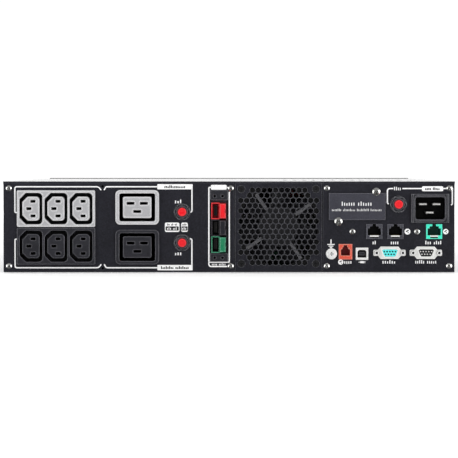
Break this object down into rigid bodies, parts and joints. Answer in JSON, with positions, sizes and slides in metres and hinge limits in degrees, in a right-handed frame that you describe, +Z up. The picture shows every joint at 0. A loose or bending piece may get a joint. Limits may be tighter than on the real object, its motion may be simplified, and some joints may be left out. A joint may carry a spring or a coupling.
{
  "type": "rackmount uninterruptible power supply",
  "caption": "Low wide steel rack enclosure with a bezel and turning display in front and a dense rear panel of mains outlets, battery port, fan grille and data ports.",
  "frame": {"origin": "centre of the chassis underside", "axes": "+Z up, +Y out of the rear connection panel, -Y out of the front bezel, +X to the right as seen from the front"},
  "size_m": [0.4826, 0.4885, 0.087],
  "materials": {
    "powder_coat": "fine matte powder coat, charcoal",
    "cover_coat": "fine matte powder coat, charcoal",
    "ear_coat": "satin black paint",
    "cover_plate": "fine matte powder coat, slate",
    "nickel_screw": "polished nickel plate",
    "black_screw": "black oxide",
    "nut_metal": "black plated metal",
    "plated_metal": "satin nickel plate",
    "zinc_sheet": "galvanised sheet",
    "grey_plastic": "satin moulded nylon, light grey",
    "black_plastic": "fine spark-eroded black",
    "port_black": "satin black",
    "red_plastic": "gloss red",
    "green_plastic": "gloss green",
    "mint_plastic": "bright green moulded plastic",
    "signal_red": "orange red moulded plastic",
    "cyan_plastic": "cyan moulded plastic",
    "jack_grey": "dark grey moulded plastic",
    "contact_metal": "tin-brass spring",
    "gold_contact": "gold plate",
    "circuit_board": "green solder mask",
    "bare_aluminium": "extruded",
    "capacitor_sleeve": "shrink sleeve",
    "steel_laminate": "varnished laminations",
    "copper_winding": "varnished copper wound on a bobbin",
    "battery_case": "moulded case",
    "lead_sleeve": "silicone sleeve",
    "bezel_plastic": "spark-eroded black",
    "disc_plastic": "piano black",
    "display_glass": "tinted window",
    "button_grey": "satin grey"
  },
  "bodies": {
    "chassis": {"base_pan": "powder_coat", "top_cover": "cover_coat", "fan_panel": "powder_coat", "outlet_plate": "powder_coat", "comm_plate": "powder_coat", "front_wall": "powder_coat", "rack_ear_left": "ear_coat", "rack_ear_right": "ear_coat", "rear_screws": "nickel_screw", "case_screws": "black_screw", "expansion_cover": "cover_plate", "expansion_screws": "nickel_screw", "outlet_bank_upper": "grey_plastic", "outlet_bank_lower": "black_plastic", "large_outlet_upper": "grey_plastic", "large_outlet_lower": "black_plastic", "outlet_contacts": "contact_metal", "breaker_bodies": "black_plastic", "breaker_nuts": "nut_metal", "power_inlet": "black_plastic", "inlet_pins": "plated_metal", "battery_port_frame": "black_plastic", "battery_port_red": "red_plastic", "battery_port_black": "port_black", "battery_port_green": "green_plastic", "battery_port_contacts": "plated_metal", "fan_frame": "black_plastic", "fan_screws": "black_screw", "link_jack_in": "jack_grey", "link_jack_out": "jack_grey", "sensor_jack": "mint_plastic", "off_jack": "signal_red", "jack_contacts": "gold_contact", "usb_shell": "plated_metal", "usb_tongue": "black_plastic", "dsub_shells": "plated_metal", "serial_insert": "cyan_plastic", "contact_insert": "black_plastic", "contact_pins": "plated_metal", "jackscrews": "plated_metal", "ground_terminal": "nickel_screw", "comms_board": "circuit_board", "board_posts": "plated_metal", "power_board": "circuit_board", "heatsinks": "bare_aluminium", "capacitors": "capacitor_sleeve", "transformer_core": "steel_laminate", "transformer_coil": "copper_winding"},
    "battery_drawer": {"battery_tray": "zinc_sheet", "battery_blocks": "battery_case", "battery_lead": "lead_sleeve"},
    "bezel": {"front_bezel": "bezel_plastic"},
    "display": {"display_disc": "disc_plastic", "display_window": "display_glass"},
    "power_key": {"button_power": "button_grey"},
    "menu_key": {"button_menu": "button_grey"},
    "breaker_button_upper": {"reset_button_upper": "red_plastic"},
    "breaker_button_lower": {"reset_button_lower": "red_plastic"},
    "breaker_button_input": {"reset_button_input": "red_plastic"},
    "rotor": {"fan_rotor": "black_plastic"}
  },
  "joints": [
    {"name": "battery_drawer_slide", "type": "slide", "parent": "chassis", "child": "battery_drawer", "axis": [0, -1, 0], "range_m": [0, 0.19]},
    {"name": "bezel_pull_off", "type": "slide", "parent": "battery_drawer", "child": "bezel", "axis": [0, -1, 0], "range_m": [0, 0.06]},
    {"name": "display_turn", "type": "hinge", "parent": "chassis", "child": "display", "pos_m": [0.158, -0.24, 0.0435], "axis": [0, -1, 0], "range_deg": [0, 90]},
    {"name": "power_key_press", "type": "slide", "parent": "display", "child": "power_key", "axis": [0, 1, 0], "range_m": [0, 0.001]},
    {"name": "menu_key_press", "type": "slide", "parent": "display", "child": "menu_key", "axis": [0, 1, 0], "range_m": [0, 0.001]},
    {"name": "upper_breaker_trip", "type": "slide", "parent": "chassis", "child": "breaker_button_upper", "axis": [0, 1, 0], "range_m": [0, 0.0035]},
    {"name": "lower_breaker_trip", "type": "slide", "parent": "chassis", "child": "breaker_button_lower", "axis": [0, 1, 0], "range_m": [0, 0.0035]},
    {"name": "input_breaker_trip", "type": "slide", "parent": "chassis", "child": "breaker_button_input", "axis": [0, 1, 0], "range_m": [0, 0.0035]},
    {"name": "fan_spin", "type": "hinge", "parent": "chassis", "child": "rotor", "pos_m": [-0.0476, 0.225, 0.04385], "axis": [0, 1, 0], "continuous": true}
  ]
}
